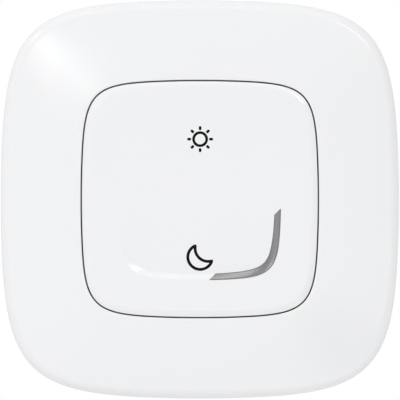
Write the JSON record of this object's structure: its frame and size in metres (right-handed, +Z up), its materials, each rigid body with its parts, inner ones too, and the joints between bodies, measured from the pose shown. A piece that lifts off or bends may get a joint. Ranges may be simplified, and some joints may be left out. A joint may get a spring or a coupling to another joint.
{
  "type": "wireless wall switch",
  "caption": "Flat square wireless wall switch with bowed sides, a square rocking key, a finger dish and an L-shaped light bar.",
  "frame": {"origin": "centre of the switch on the wall plane that the mounting frame's back lies on", "axes": "+X to the right as the user faces the switch, +Z up, +Y into the wall; the key faces -Y"},
  "size_m": [0.0858, 0.0109, 0.0858],
  "materials": {
    "white_shell": "smooth, softly glossy",
    "white_key": "smooth, softly glossy",
    "grey_frame": "moulded, fine matt",
    "foam_pad": "closed-cell foam with adhesive",
    "housing_plastic": "moulded, fine matt",
    "screw_steel": "zinc plated",
    "board_laminate": "solder mask",
    "cell_steel": "nickel plated",
    "contact_metal": "plated spring strip",
    "shield_metal": "tinned",
    "ceramic": "fired ceramic",
    "black_resin": "moulded resin",
    "lamp_resin": "clear resin",
    "dome_rubber": "soft silicone",
    "light_guide": "translucent smoke grey"
  },
  "bodies": {
    "base": {"cover_plate": "white_shell", "mounting_frame": "grey_frame", "adhesive_pads": "foam_pad", "rear_housing": "housing_plastic", "front_housing": "housing_plastic", "housing_screws": "screw_steel", "circuit_board": "board_laminate", "battery_cell": "cell_steel", "battery_contact_positive": "contact_metal", "battery_contact_negative": "contact_metal", "radio_module": "shield_metal", "chip_antenna": "ceramic", "microcontroller": "black_resin", "crystal": "shield_metal", "capacitors": "ceramic", "indicator_led": "lamp_resin", "upper_switch_base": "black_resin", "lower_switch_base": "black_resin", "upper_switch_dome": "dome_rubber", "lower_switch_dome": "dome_rubber"},
    "key": {"key_carrier": "housing_plastic", "key_cap": "white_key", "light_bar": "light_guide"}
  },
  "joints": [
    {"name": "key_tilt", "type": "hinge", "parent": "base", "child": "key", "pos_m": [0, -0.0077, 0], "axis": [1, 0, 0], "range_deg": [-1.2, 1.2], "stiffness_Nm_per_rad": 2, "deforming": ["upper_switch_dome", "lower_switch_dome"]}
  ]
}
